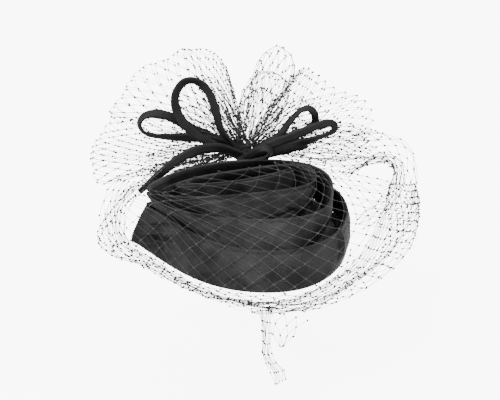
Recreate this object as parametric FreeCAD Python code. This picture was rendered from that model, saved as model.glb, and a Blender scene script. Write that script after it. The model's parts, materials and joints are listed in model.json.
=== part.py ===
"""Fascinator headpiece: a leaf-shaped pillbox base wound with four folded satin bands,
a bow of satin rouleau loops at the back of the crown, and a net veil gathered behind the bow.

Millimetres. The origin is the centre of the head opening, in the plane of the base's lower edge.
+Z goes up through the crown, +X to the wearer's left and -Y to the front.
"""

import FreeCAD
import Part
import math
import os

from FreeCAD import Vector

# ---- driving dimensions -------------------------------------------------------------------

base_half_length = 78.0      # the pointed end to the round end is 156
base_half_width = 66.0
band_gauge = 2.0             # a folded satin band, two layers with an interlining
upper_turn = math.radians(11.0)   # how far the upper band is turned about Z
fold_start = Vector(-42.5, -1.0, 47.8)
fold_end = Vector(38.0, 18.5, 49.0)
end_gap = 1.7                # half the distance between a band's two ends at the pointed end
shell_gauge = 1.6            # blocked buckram
lining_gauge = 0.6
ribbon_gauge = 0.9
net_gauge = 1.2              # the space that a crumpled layer of net fills
rouleau_diameter = 4.6
knot_centre = Vector(4.0, 43.8, 44.5)
knot_radius = 6.5
bow_lean = math.radians(13.0)     # how far the bow leans back from upright
fan_root = Vector(4.0, 56.0, 36.5)
fan_lean = math.radians(19.0)     # how far the net fans lean back
comb_width = 50.0
comb_tooth_count = 12
comb_spine = Vector(11.0, -39.0, 5.0)
comb_depth = 38.0
tail_top = Vector(22.0, -59.0, -18.5)
tail_length = 66.0

half_turn = math.pi
full_turn = 2 * math.pi


# ---- making solids ------------------------------------------------------------------------

def export(name, shape):
    """Writes one node's solids, and says what it weighs in space and whether it is sound."""
    solids = shape.Solids
    kept = solids[0] if len(solids) == 1 else Part.makeCompound(solids)
    kept.exportStep("parts/%s.step" % name)
    print("%-22s solids %2d  volume %9.1f  valid %s" % (name, len(solids), kept.Volume, kept.isValid()))


def surface_through(rows):
    """The smooth surface through a grid of points."""
    surface = Part.BSplineSurface()
    surface.interpolate(rows)
    return surface.toShape()


def closed_by_sides(front, back):
    """The solid between two surfaces that have the same four-sided outline."""
    faces = [front, back]
    for edge in front.Edges:
        middle = edge.valueAt(sum(edge.ParameterRange) / 2)
        partner = min(back.Edges, key=lambda e: (e.valueAt(sum(e.ParameterRange) / 2) - middle).Length)
        faces.append(Part.makeRuledSurface(edge, partner))
    shell = Part.makeShell(faces)
    shell.sewShape()
    solid = Part.makeSolid(Part.Shell(shell.Faces))
    if solid.Volume < 0:
        solid.reverse()
    return solid


def sheet_solid(place, rows, columns, gauge):
    """A thin solid whose middle surface is place(u, v), with u and v from 0 to 1."""
    step = 1e-3
    front, back = [], []
    for i in range(rows):
        u = i / (rows - 1)
        front.append([])
        back.append([])
        for j in range(columns):
            v = j / (columns - 1)
            along_u = place(min(u + step, 1), v) - place(max(u - step, 0), v)
            along_v = place(u, min(v + step, 1)) - place(u, max(v - step, 0))
            normal = along_u.cross(along_v).normalize()
            front[-1].append(place(u, v) + normal * (gauge / 2))
            back[-1].append(place(u, v) - normal * (gauge / 2))
    return closed_by_sides(surface_through(front), surface_through(back))


def through(points, t):
    """The point at t, from 0 to 1, on a smooth curve through a short list of points."""
    last = len(points) - 1
    place = min(max(t, 0), 1) * last
    i = min(int(place), last - 1)
    f = place - i
    p1, p2 = points[i], points[i + 1]
    p0 = points[i - 1] if i > 0 else p1 * 2 - p2
    p3 = points[i + 2] if i + 2 <= last else p2 * 2 - p1
    return (p1 * 2 + (p2 - p0) * f + (p0 * 2 - p1 * 5 + p2 * 4 - p3) * f ** 2
            + (p1 * 3 - p0 - p2 * 3 + p3) * f ** 3) * 0.5


def rails_sheet(rails, rows, columns, gauge=net_gauge):
    """A thin solid across several rails, each a list of points, from the first rail to the last."""
    def place(u, v):
        return through([through(rail, u) for rail in rails], v)
    return sheet_solid(place, rows, columns, gauge)


def rounded_path(points):
    """Straight runs joined by tangent arcs, each as large as its two runs allow."""
    edges, start = [], points[0]
    for before, corner, after in zip(points, points[1:], points[2:]):
        back, on = before - corner, after - corner
        turn = math.pi - back.getAngle(on)
        cut = 0.45 * min(back.Length, on.Length)
        first = corner + back.normalize() * cut
        last = corner + on.normalize() * cut
        bisector = (back + on).normalize()
        radius = cut / math.tan(turn / 2)
        middle = corner + bisector * (radius / math.cos(turn / 2) - radius)
        edges.append(Part.LineSegment(start, first).toShape())
        edges.append(Part.Arc(first, middle, last).toShape())
        start = last
    edges.append(Part.LineSegment(start, points[-1]).toShape())
    return Part.Wire(edges)


def tube(points, diameter):
    """A round tube along a path of runs and arcs."""
    path = rounded_path(points)
    section = Part.Wire([Part.Circle(points[0], points[1] - points[0], diameter / 2).toShape()])
    made = path.makePipeShell([section], True, False)
    expected = path.Length * math.pi * diameter ** 2 / 4
    if abs(made.Volume / expected - 1) > 0.02:
        print("  a tube's volume is %.3f of its length times its section" % (made.Volume / expected))
    return made


def closed_curve(points):
    curve = Part.BSplineCurve()
    curve.interpolate(points, PeriodicFlag=True)
    return Part.Wire([curve.toShape()])


# ---- the leaf shape -----------------------------------------------------------------------

def leaf(angle, centre, half_length, half_width, point=0.9, full=0.0, blunt=1.0):
    """A plan outline, round at +X and drawn in to a point at -X; full and blunt square its ends."""
    c, s = math.cos(angle), math.sin(angle)
    s = math.copysign(abs(s) ** blunt, s)
    drawn_in = 1 - point * ((1 - c) / 2) ** 6
    return Vector(centre + half_length * c, half_width * s * (1 + 0.2 * c + full * max(c, 0) ** 2) * drawn_in, 0)


def leaf_ring(z, centre, half_length, half_width, point=0.7, full=0.0, count=28):
    """A closed leaf outline at height z."""
    angles = [half_turn + full_turn * i / count for i in range(count)]
    return closed_curve([leaf(a, centre, half_length, half_width, point, full) + Vector(0, 0, z) for a in angles])


# Each wound band has a foot and a rim, as places at an angle round the crown.

def lower_foot(angle):
    return leaf(angle, 0.0, base_half_length - 1, base_half_width - 2, 0.9, 0.15) + Vector(0, 0, 1.4)


def lower_rim(angle):
    rise = 5 * ((1 - math.cos(angle)) / 2) ** 3
    return leaf(angle, 6.0, 71.0, 51.0) + Vector(0, 0, 25.5 + rise)


def middle_foot(angle):
    return leaf(angle, 5.0, 57.5, 47.5, 0.8) + Vector(0, 1, 18.4)


def middle_rim(angle):
    rise = 5.8 * math.sin(angle) - ((1 - math.cos(angle)) / 2) ** 3
    return leaf(angle, 0.9, 65.3, 29.0, 0.5, 0.2, 0.75) + Vector(0, 1.2, 42.7 + rise)


def turned(point, angle):
    c, s = math.cos(angle), math.sin(angle)
    return Vector(point.x * c - point.y * s, point.x * s + point.y * c, point.z)


def upper_foot(angle):
    return turned(leaf(angle, 3.5, 44.5, 26.0, 0.7), upper_turn) + Vector(0, 1, 25)


def upper_rim(angle):
    rise = 1.5 * math.sin(angle) + 1.0 * math.cos(angle)
    return turned(leaf(angle, 0.5, 54.5, 13.0, 0.3, 0.5, 0.8), upper_turn) + Vector(0, 4.5, 46.5 + rise)


def ends_apart(angle):
    """Moves a band's front half forward and its back half back, so its ends at the point are clear."""
    share = ((1 - math.cos(angle)) / 2) ** 2
    return Vector(0, -end_gap * share if angle > half_turn else end_gap * share, 0)


def wound_band(foot, rim, swell):
    """A band wound once round from the pointed end, swelling outward between foot and rim."""
    def place(u, v):
        angle = half_turn * 0.999 + full_turn * 0.998 * u
        way = angle if angle <= full_turn else angle - full_turn
        low, high = foot(way), rim(way)
        out = Vector(math.cos(way), math.sin(way), 0) * (swell * (0.3 + 0.7 * (1 + math.cos(way)) / 2))
        return low * (1 - v) + high * v + out * math.sin(math.pi * v) + ends_apart(way if u else half_turn + 1e-6)
    return sheet_solid(place, 29, 5, band_gauge)


# ---- base ---------------------------------------------------------------------------------

dome_sections = [(2.6, 68.0, 57.5), (10.0, 64.0, 52.5), (15.5, 57.0, 45.0), (20.0, 44.0, 33.0), (22.5, 27.0, 19.0)]


def dome(inset, drop=0.0):
    """The solid under the blocked dome, drawn in by inset, with its foot lowered by drop."""
    rings = []
    for i, (z, half_length, half_width) in enumerate(dome_sections):
        low = z - drop if i == 0 else z - inset * 0.9
        rings.append(leaf_ring(low, 3.0, half_length - inset, half_width - inset))
    return Part.makeLoft(rings, True, False)


def dome_layer(outer_inset, gauge):
    return dome(outer_inset).cut(dome(outer_inset + gauge, 0.5))


def make_base():
    lining_inset = shell_gauge + 0.5
    export("foundation_shell", dome_layer(0, shell_gauge))
    export("lining", dome_layer(lining_inset, lining_gauge))
    inside = lining_inset + lining_gauge + 3.2
    low, high = 68.0 - inside, 63.8 - inside
    outer = Part.makeLoft([leaf_ring(2.8, 3.0, low, low - 10.5), leaf_ring(9.0, 3.0, high, high - 11.5)], True, True)
    low, high = low - ribbon_gauge, high - ribbon_gauge
    inner = Part.makeLoft([leaf_ring(2.7, 3.0, low, low - 10.5), leaf_ring(9.1, 3.0, high, high - 11.5)], True, True)
    export("headsize_ribbon", outer.cut(inner))
    opening = Part.Face(leaf_ring(-0.5, 3.0, 63.0, 52.5)).extrude(Vector(0, 0, 2))
    facing = Part.Face(leaf_ring(0, 0.0, base_half_length - 1.5, base_half_width - 2.5, 0.85, 0.15))
    export("satin_facing", facing.extrude(Vector(0, 0, 0.9)).cut(opening))
    wire_path = leaf_ring(2.2, 1.5, 71.5, 60.3)
    start = wire_path.Edges[0]
    at = start.FirstParameter
    section = Part.Wire([Part.Circle(start.valueAt(at), start.tangentAt(at), 0.6).toShape()])
    export("edge_wire", wire_path.makePipeShell([section], True, False))
    tip = Part.makeLoft([leaf_ring(22.8, 3.0, 26.5, 18.5), leaf_ring(23.6, 3.0, 24.0, 16.0)], True, True)
    export("crown_tip_cover", tip)


# ---- satin bands --------------------------------------------------------------------------

def centre_fold():
    """The doubled innermost end of the satin, bending back to its cut end and leaning forward a little."""
    def place(u, v):
        along = fold_start * (1 - u) + fold_end * u
        along.y = fold_start.y + (fold_end.y - fold_start.y) * u ** 2.4
        return along + Vector(12 * (1 - u), -3, -19) * (1 - v)
    return sheet_solid(place, 9, 3, 1.6 * band_gauge)


def make_bands():
    export("lower_band", wound_band(lower_foot, lower_rim, 2.0))
    export("middle_band", wound_band(middle_foot, middle_rim, 1.5))
    export("upper_band", wound_band(upper_foot, upper_rim, 1.0))
    export("centre_fold", centre_fold())


# ---- bow ----------------------------------------------------------------------------------

def on_bow(u, v, w=0.0):
    """A place in the bow's leaning plane: u to +X, v up the plane, w behind it."""
    c, s = math.cos(bow_lean), math.sin(bow_lean)
    return knot_centre + Vector(u, v * s + w * c, v * c - w * s)


def bow_tube(points):
    return tube([on_bow(*p) for p in points], rouleau_diameter)


def make_bow():
    upright = [(-5, 6, 1), (-17, 20, 1), (-21, 35, 1), (-28, 55, 1), (-45, 60, 0), (-54, 44, 0), (-45, 26, -1),
               (-28, 14, 0), (-9, 5, 0)]
    low = [(-9, 6, 6.5), (-34, 15, 6), (-68, 15, 4), (-79, 24, 4), (-66, 35, 4), (-46, 27, 5.5), (-26, 17, 7),
           (-7, 9, 9)]
    small = [(6, 7, -1), (20, 13, -1), (30, 25, -1), (42, 41, 0), (53, 34, 3), (50, 22, 5), (28, 12, 5), (8, 4, 5)]
    long = [(9, 8, -6), (32, 17, -6), (54, 27, -5), (68, 29, -4), (61, 20, -4), (38, 14, -5), (9, 3.5, -5.5)]
    export("upright_loop", bow_tube(upright))
    export("low_loop", bow_tube(low))
    export("small_right_loop", bow_tube(small))
    export("long_right_loop", bow_tube(long))
    export("right_tail", bow_tube([(9, 0.5, 0), (30, 7, 0), (45, 10.5, 0)]))
    export("knot_arch", bow_tube([(2, 4, -8.5), (8, 9, -10.8), (15, 7, -11.5), (13, 3, -10.5)]))
    left = [(-5, 40, 49), (-29, 35, 55), (-45, 28, 49.5), (-60, 19, 41), (-72, 12, 33.5)]
    export("left_tail", tube([Vector(*p) for p in left], rouleau_diameter))
    wrap = Part.makeSphere(knot_radius)
    squeeze = FreeCAD.Matrix()
    squeeze.scale(0.8, 0.75, 1.0)
    wrap = wrap.transformGeometry(squeeze)
    wrap.translate(knot_centre)
    export("knot_wrap", wrap)


# ---- net ----------------------------------------------------------------------------------

def on_fan(u, v, w=0.0):
    """A place in the fans' leaning plane: u to +X, v up the plane, w behind it."""
    c, s = math.cos(fan_lean), math.sin(fan_lean)
    return fan_root + Vector(u, v * s + w * c, v * c - w * s)


def fan_sheet(rails):
    return rails_sheet([[on_fan(*p) for p in rail] for rail in rails], 9, 7)


def outward(place, angle, distance, lift=0.0):
    """The place moved out from the crown, and up."""
    return place + Vector(math.cos(angle), math.sin(angle), 0) * distance + Vector(0, 0, lift)


def front_cage():
    """The net over the front: from the crown, over the three rims, down past the edge."""
    def rails_at(angle):
        crown = turned(leaf(angle, 0.0, 44.0, 5.0), upper_turn) + Vector(0, 6, 51.5)
        return [crown, outward(upper_rim(angle), angle, 1.5, 5), outward(middle_rim(angle), angle, 4, 3.5),
                outward(lower_rim(angle), angle, 4, 2), outward(lower_foot(angle), angle, 5, -1),
                outward(lower_foot(angle), angle, 4, -12)]
    def place(u, v):
        return through(rails_at(half_turn * (1.1 + 0.8 * u)), v)
    return sheet_solid(place, 17, 17, net_gauge)


def hem():
    """The net turned under the front edge."""
    def place(u, v):
        angle = half_turn * (1.13 + 0.74 * u)
        depth = 13.5 + 2.5 * math.sin(math.pi * v)
        return outward(lower_foot(angle), angle, 3 - 15 * v, -depth)
    return sheet_solid(place, 15, 5, net_gauge)


def make_net():
    export("veil_left_fan", fan_sheet([
        [(-9, 0, 0), (-60, -6, 5), (-106, -19, 2)],
        [(-10, 3, 1), (-60, 12, 10), (-113, 4, 6)],
        [(-10, 6, 0), (-55, 27, 4), (-99, 29, 0)]]))
    export("veil_left_upper", fan_sheet([
        [(-9, 9, 2), (-50, 34, 8), (-96, 33, 4)],
        [(-8, 10.5, 3), (-42, 50, 13), (-80, 61, 10)],
        [(-7, 12, 2), (-28, 55, 8), (-49, 79, 6)],
        [(-5, 13, 0), (-14, 44, 2), (-15, 68, 0)]]))
    export("veil_back_lobe", fan_sheet([
        [(-3, 14, 6), (2, 40, 12), (7, 62, 10)],
        [(3, 15, 8), (14, 48, 20), (21, 79, 12)],
        [(7, 14, 6), (24, 42, 12), (36, 62, 10)]]))
    export("veil_centre_lobe", fan_sheet([
        [(-3, 16, -1), (-4, 30, -5), (0, 48, -6), (8, 60, -3)],
        [(1, 17, -2), (9, 34, -9), (15, 50, -9), (18, 64, -4)],
        [(5, 15, -1), (20, 28, -6), (29, 42, -6), (30, 58, -3)]]))
    export("veil_right_fan", fan_sheet([
        [(10, -1, 1), (48, -4, 5), (86, 2, 3)],
        [(10.5, 3, 2), (50, 18, 10), (92, 22, 6)],
        [(9.5, 7, 1), (46, 34, 6), (82, 44, 3)],
        [(8, 11, 0), (33, 48, 2), (46, 65, 2)]]))
    curl = [[(97, 56, 57), (114, 44, 60), (126, 30, 51), (129, 14, 46), (125, -2, 31)],
            [(83, 50, 31), (94, 42, 42), (107, 32, 48), (112, 20, 48), (107, 8, 43)]]
    export("veil_right_curl", rails_sheet([[Vector(*p) for p in rail] for rail in curl], 11, 4))
    side = [[(84, 36, 26), (95, 20, 33), (108, 4, 38), (122, -8, 27)],
            [(88, 24, 14), (97, 4, 17), (104, -14, 16), (117, -24, 14)],
            [(87, 8, 3), (88, -12, 4), (92, -30, 4), (104, -39, 5)],
            [(84, -22, -6), (80, -36, -6), (80, -46, -6), (82, -54, -5)]]
    export("veil_right_side", rails_sheet([[Vector(*p) for p in rail] for rail in side], 9, 9))
    left = [[(-88, 12, 46), (-97, 5, 34), (-99, -3, 20), (-97, -9, 7), (-88, -18, -1)],
            [(-82, 12, 40), (-86, 5, 30), (-88, -3, 18), (-87, -9, 6), (-82, -15, -1)]]
    export("veil_left_side", rails_sheet([[Vector(*p) for p in rail] for rail in left], 9, 4))
    export("veil_front", front_cage())
    export("veil_hem", hem())
    neck = Part.makeCylinder(5.0, 9.0, fan_root + Vector(0, -4.5, 3), Vector(0, 1, 0))
    export("gather_tie", neck)
    hung = [(-8, 0, 0), (-2, -34, 1), (-3, -tail_length, 0)], [(2, -1, -1.5), (3, -34, -2), (2, -tail_length, -1)]
    spread = [(10, 0, 0), (10, -34, 1), (5, -tail_length + 2, 0)]
    rails = [[tail_top + Vector(x, y, z) for x, z, y in rail] for rail in (*hung, spread)]
    export("veil_tail", rails_sheet(rails, 7, 5))
    thread = Part.makeCylinder(0.7, 9.0, tail_top + Vector(-4.5, 0, 1.6), Vector(1, 0, 0))
    export("tail_thread", thread)


# ---- comb ---------------------------------------------------------------------------------

def make_comb():
    spine = Part.makeCylinder(1.5, comb_width, comb_spine - Vector(comb_width / 2, 0, 0), Vector(1, 0, 0))
    solid = spine
    pitch = (comb_width - 3) / (comb_tooth_count - 1)
    for i in range(comb_tooth_count):
        x = comb_spine.x - comb_width / 2 + 1.5 + i * pitch
        root = Vector(x, comb_spine.y, comb_spine.z)
        knee = root + Vector(0, comb_depth * 0.55, 1.5)
        tip = root + Vector(0, comb_depth, -1.5)
        arc = Part.Wire([Part.Arc(root, knee, tip).toShape()])
        section = Part.Wire([Part.Circle(root, arc.Edges[0].tangentAt(arc.Edges[0].FirstParameter), 0.65).toShape()])
        solid = solid.fuse(arc.makePipeShell([section], True, False))
    export("comb", solid.removeSplitter())
    tape = Part.makeBox(comb_width - 10, 2.2, 3.6, comb_spine + Vector(-comb_width / 2 + 5, -4.0, -1.8))
    export("comb_tape", tape)


if __name__ == "__main__":
    os.makedirs("parts", exist_ok=True)
    make_base()
    make_bands()
    make_bow()
    make_net()
    make_comb()
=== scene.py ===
import json
import math
import bpy
import numpy as np
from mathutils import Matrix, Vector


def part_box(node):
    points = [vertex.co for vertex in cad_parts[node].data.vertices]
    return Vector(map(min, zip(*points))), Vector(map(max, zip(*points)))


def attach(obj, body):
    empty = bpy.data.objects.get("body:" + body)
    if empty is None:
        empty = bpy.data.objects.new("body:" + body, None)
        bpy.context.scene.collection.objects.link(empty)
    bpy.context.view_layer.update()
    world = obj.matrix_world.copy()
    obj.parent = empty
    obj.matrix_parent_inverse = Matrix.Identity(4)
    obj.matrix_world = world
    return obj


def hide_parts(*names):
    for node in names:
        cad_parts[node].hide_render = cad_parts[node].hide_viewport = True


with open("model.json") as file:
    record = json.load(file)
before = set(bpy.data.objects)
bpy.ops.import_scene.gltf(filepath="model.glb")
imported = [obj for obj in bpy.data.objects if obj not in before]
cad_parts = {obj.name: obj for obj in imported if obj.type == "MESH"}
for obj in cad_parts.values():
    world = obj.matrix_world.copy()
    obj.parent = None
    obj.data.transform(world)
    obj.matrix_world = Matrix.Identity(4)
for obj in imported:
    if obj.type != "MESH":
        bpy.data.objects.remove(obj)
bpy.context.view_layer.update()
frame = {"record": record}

# Lengths in the dictionaries are millimetres and go to metres as a mesh is made.
toMetres = 0.001


def jointPlace(name):
    # where the model says a joint turns, in mm
    for joint in frame["record"]["behaviour"]["joints"]:
        if joint["name"] == name:
            return np.array(joint["pos_m"]) * 1000


def nodeCentre(node):
    # middle of a CAD node's box, in mm
    return (np.array(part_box(node)[0]) + np.array(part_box(node)[1])) * 500


# ---- camera, light and floor

view = dict(azimuth=0.0, elevation=33.0, distance=1.8, lens=180.0, right=0.0079, up=0.0295)


def makeCamera():
    # camera place = target + distance along (azimuth, elevation); the target is slid sideways and up in the
    # view
    a, e = math.radians(view["azimuth"]), math.radians(view["elevation"])
    back = np.array([math.sin(a) * math.cos(e), -math.cos(a) * math.cos(e), math.sin(e)])
    side = np.array([math.cos(a), math.sin(a), 0.0])
    up = np.cross(back, side)
    target = side * view["right"] + up * view["up"]
    camData = bpy.data.cameras.new("camera")
    cam = bpy.data.objects.new("camera", camData)
    bpy.context.scene.collection.objects.link(cam)
    camData.lens = view["lens"]
    camData.clip_end = 20
    cam.location = target + back * view["distance"]
    cam.rotation_euler = (math.radians(90) - e, 0, a)
    bpy.context.scene.camera = cam


def areaLight(name, place, aim, size, watts, colour=(1, 1, 1)):
    # square soft light at place, turned to aim
    lightData = bpy.data.lights.new(name, "AREA")
    lightData.size, lightData.energy, lightData.color = size, watts, colour
    light = bpy.data.objects.new(name, lightData)
    bpy.context.scene.collection.objects.link(light)
    light.location = place
    way = np.array(aim, float) - np.array(place, float)
    flat = math.hypot(way[0], way[1])
    light.rotation_euler = (math.atan2(flat, -way[2]), 0, math.atan2(-way[0], way[1]))


def makeStudio():
    floorSize, floorDrop = 8.0, -0.105
    corners = [(-floorSize, -floorSize, floorDrop), (floorSize, -floorSize, floorDrop),
               (floorSize, floorSize, floorDrop), (-floorSize, floorSize, floorDrop)]
    mesh = bpy.data.meshes.new("floor")
    mesh.from_pydata(corners, [], [(0, 1, 2, 3)])
    floor = bpy.data.objects.new("floor", mesh)
    bpy.context.scene.collection.objects.link(floor)
    paint = bpy.data.materials.new("floorPaint")
    paint.use_nodes = True
    shader = paint.node_tree.nodes["Principled BSDF"]
    shader.inputs["Base Color"].default_value = (0.97, 0.97, 0.97, 1)
    shader.inputs["Roughness"].default_value = 0.9
    shader.inputs["Emission Color"].default_value = (1, 1, 1, 1)
    shader.inputs["Emission Strength"].default_value = 7.0
    mesh.materials.append(paint)
    floor.visible_diffuse = floor.visible_glossy = False
    world = bpy.data.worlds.new("studio")
    world.use_nodes = True
    world.node_tree.nodes["Background"].inputs[0].default_value = (1, 1, 1, 1)
    world.node_tree.nodes["Background"].inputs[1].default_value = 1.35
    bpy.context.scene.world = world
    areaLight("keyLight", (-0.9, -1.0, 1.6), (0, 0, 0), 0.35, 36)
    areaLight("fillLight", (1.4, -0.8, 1.1), (0, 0, 0), 1.4, 6)
    areaLight("topLight", (0.1, 0.6, 1.9), (0, 0, 0), 1.6, 18)


# ---- materials

def newMaterial(name, base, rough, sheen=0.0, sheenRough=0.4, specular=0.5, coat=0.0):
    # plain shader with its constants on its own sockets
    mat = bpy.data.materials.new(name)
    mat.use_nodes = True
    shader = mat.node_tree.nodes["Principled BSDF"]
    shader.inputs["Base Color"].default_value = (*base, 1)
    shader.inputs["Roughness"].default_value = rough
    shader.inputs["Sheen Weight"].default_value = sheen
    shader.inputs["Sheen Roughness"].default_value = sheenRough
    shader.inputs["Specular IOR Level"].default_value = specular
    shader.inputs["Coat Weight"].default_value = coat
    return mat, mat.node_tree, shader


def link(tree, a, b):
    tree.links.new(a, b)


def node(tree, kind, **values):
    # new node with its settings and its unlinked inputs
    made = tree.nodes.new(kind)
    for key, value in values.items():
        if key in made.inputs:
            made.inputs[key].default_value = value
        else:
            setattr(made, key, value)
    return made


def clothMaterial(name, base, light, rough, pitch, depth, sheen, blotch=30.0, uv=True, twill=0.0,
        specular=0.5):
    # weave height = sin(u) + sin(v) at thread pitch, plus a fine slub noise; colour drifts slowly between
    # two tones
    mat, tree, shader = newMaterial(name, base, rough, sheen, 0.35, specular)
    place = node(tree, "ShaderNodeTexCoord")
    coords = place.outputs["UV" if uv else "Object"]
    scale = 2 * math.pi / pitch * (1.0 if uv else 1000.0)
    turn = node(tree, "ShaderNodeMapping")
    turn.inputs["Rotation"].default_value = (0, 0, twill)
    link(tree, coords, turn.inputs["Vector"])
    warp = node(tree, "ShaderNodeTexWave", wave_type="BANDS", bands_direction="X",
            Scale=scale / (2 * math.pi) * 0.318,
                Distortion=1.2, Detail=1.0)
    weft = node(tree, "ShaderNodeTexWave", wave_type="BANDS", bands_direction="Y",
            Scale=scale / (2 * math.pi) * 0.318,
                Distortion=1.2, Detail=1.0)
    slub = node(tree, "ShaderNodeTexNoise", Scale=(1.1 if uv else 1100.0), Detail=5.0, Roughness=0.8)
    drift = node(tree, "ShaderNodeTexNoise", Scale=(1.0 if uv else 1000.0) / blotch, Detail=3.0)
    for pattern in (warp, weft):
        link(tree, turn.outputs[0], pattern.inputs["Vector"])
    for pattern in (slub, drift):
        link(tree, coords, pattern.inputs["Vector"])
    both = node(tree, "ShaderNodeMath", operation="ADD")
    link(tree, warp.outputs["Fac"], both.inputs[0])
    link(tree, weft.outputs["Fac"], both.inputs[1])
    height = node(tree, "ShaderNodeMath", operation="ADD")
    link(tree, both.outputs[0], height.inputs[0])
    link(tree, slub.outputs["Fac"], height.inputs[1])
    bump = node(tree, "ShaderNodeBump", Strength=0.6, Distance=depth * toMetres)
    link(tree, height.outputs[0], bump.inputs["Height"])
    link(tree, bump.outputs[0], shader.inputs["Normal"])
    tones = node(tree, "ShaderNodeMix", data_type="RGBA")
    tones.inputs[6].default_value = (*base, 1)
    tones.inputs[7].default_value = (*light, 1)
    spread = node(tree, "ShaderNodeMapRange")
    spread.inputs["From Min"].default_value = 0.44
    spread.inputs["From Max"].default_value = 0.56
    mixed = node(tree, "ShaderNodeMath", operation="MULTIPLY_ADD")
    mixed.inputs[1].default_value = 1.0
    link(tree, slub.outputs["Fac"], mixed.inputs[0])
    link(tree, drift.outputs["Fac"], mixed.inputs[2])
    halved = node(tree, "ShaderNodeMath", operation="MULTIPLY")
    halved.inputs[1].default_value = 0.5
    link(tree, mixed.outputs[0], halved.inputs[0])
    link(tree, halved.outputs[0], spread.inputs["Value"])
    link(tree, spread.outputs[0], tones.inputs[0])
    link(tree, tones.outputs[2], shader.inputs["Base Color"])
    roughness = node(tree, "ShaderNodeMapRange")
    roughness.inputs["To Min"].default_value = rough - 0.08
    roughness.inputs["To Max"].default_value = rough + 0.1
    link(tree, slub.outputs["Fac"], roughness.inputs["Value"])
    link(tree, roughness.outputs[0], shader.inputs["Roughness"])
    return mat


# ---- curves and surfaces from arrays

def through(points, t):
    # smooth curve through a few points: on each span 0.5 (2b + (c-a)f + (2a-5b+4c-d)f2 + (3b-a-3c+d)f3)
    p = np.asarray(points, float)
    p = np.concatenate([2 * p[:1] - p[1:2], p, 2 * p[-1:] - p[-2:-1]])
    place = np.clip(np.asarray(t, float), 0, 1) * (len(p) - 3)
    i = np.minimum(place.astype(int), len(p) - 4)
    f = (place - i).reshape(place.shape + (1,) * (p.ndim - 1))
    a, b, c, d = p[i], p[i + 1], p[i + 2], p[i + 3]
    return 0.5 * (2 * b + (c - a) * f + (2 * a - 5 * b + 4 * c - d) * f ** 2 + (3 * b - a - 3 * c + d) * f ** 3)


def evenly(points, count):
    # the same curve at equal steps of its own length
    fine = through(points, np.linspace(0, 1, 400))
    steps = np.linalg.norm(np.diff(fine, axis=0), axis=1)
    along = np.concatenate([[0], np.cumsum(steps)])
    wanted = np.linspace(0, along[-1], count)
    return np.stack([np.interp(wanted, along, fine[:, k]) for k in range(3)], axis=1)


def unit(vectors):
    return vectors / np.maximum(np.linalg.norm(vectors, axis=-1, keepdims=True), 1e-9)


def gridNormals(grid):
    # normal = d/du x d/dv at every grid point
    along = np.gradient(grid, axis=0)
    across = np.gradient(grid, axis=1)
    return unit(np.cross(along, across))


def gridFaces(rows, cols, closeRows=False, closeCols=False, start=0):
    # quads between neighbours of a grid, wrapped where it closes
    i = np.arange(rows if closeRows else rows - 1)
    j = np.arange(cols if closeCols else cols - 1)
    ii, jj = np.meshgrid(i, j, indexing="ij")
    nextI, nextJ = (ii + 1) % rows, (jj + 1) % cols
    quads = np.stack([ii * cols + jj, nextI * cols + jj, nextI * cols + nextJ, ii * cols + nextJ], axis=-1)
    return quads.reshape(-1, 4) + start


def addMesh(name, verts, faces, mat, body, replaces=(), uv=None, smooth=True):
    # array of places in mm and lists of corner indices become one object at the origin
    mesh = bpy.data.meshes.new(name)
    places = np.asarray(verts, float) * toMetres
    parts = faces if isinstance(faces, list) else [faces]
    sizes = np.concatenate([np.full(len(f), f.shape[1]) for f in parts])
    corners = np.concatenate([np.asarray(f).reshape(-1) for f in parts]).astype(np.int32)
    mesh.vertices.add(len(places))
    mesh.vertices.foreach_set("co", places.reshape(-1))
    mesh.loops.add(len(corners))
    mesh.loops.foreach_set("vertex_index", corners)
    mesh.polygons.add(len(sizes))
    mesh.polygons.foreach_set("loop_start", np.concatenate([[0], np.cumsum(sizes)[:-1]]).astype(np.int32))
    mesh.polygons.foreach_set("loop_total", sizes.astype(np.int32))
    mesh.polygons.foreach_set("use_smooth", np.full(len(sizes), smooth))
    if uv is not None:
        layer = mesh.uv_layers.new(name="cloth")
        layer.data.foreach_set("uv", np.asarray(uv, float)[corners].reshape(-1))
    mesh.update(calc_edges=True)
    mesh.validate()
    mesh.materials.append(mat)
    obj = bpy.data.objects.new(name, mesh)
    bpy.context.scene.collection.objects.link(obj)
    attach(obj, body)
    if replaces:
        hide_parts(*replaces)
    return obj


# ---- satin bands

def leaf(angle, centre, halfLength, halfWidth, point=0.9, full=0.0, blunt=1.0):
    # plan outline: x = centre + length cos,
    # y = width sin^blunt (1 + 0.2 cos + full max(cos, 0)^2) (1 - point ((1 - cos) / 2)^6)
    c, s = np.cos(angle), np.sin(angle)
    s = np.sign(s) * np.abs(s) ** blunt
    drawnIn = 1 - point * ((1 - c) / 2) ** 6
    return np.stack([centre + halfLength * c, halfWidth * s * (1 + 0.2 * c + full * np.maximum(c,
            0) ** 2) * drawnIn, 0 * c], axis=-1)


def moved(places, x, y, z):
    # the places slid by x, y and z, each a number or one value per place
    return places + np.stack([x + 0 * places[..., 0], y + 0 * places[..., 0], z + 0 * places[..., 0]],
            axis=-1)


def turned(places, angle):
    # turned about Z: x' = x cos - y sin, y' = x sin + y cos
    c, s = math.cos(angle), math.sin(angle)
    return np.stack([places[..., 0] * c - places[..., 1] * s, places[..., 0] * s + places[..., 1] * c,
                     places[..., 2]], axis=-1)


upperTurn = math.radians(11.0)


def pointedness(angle):
    # 0 at the round end and 1 at the pointed end
    return (1 - np.cos(angle)) / 2


def lowerFoot(angle):
    return moved(leaf(angle, 0.0, 77.0, 64.0, 0.9, 0.15), 0, 0, 1.4)


def lowerRim(angle):
    return moved(leaf(angle, 6.0, 71.0, 51.0), 0, 0, 25.5 + 5 * pointedness(angle) ** 3)


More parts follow.
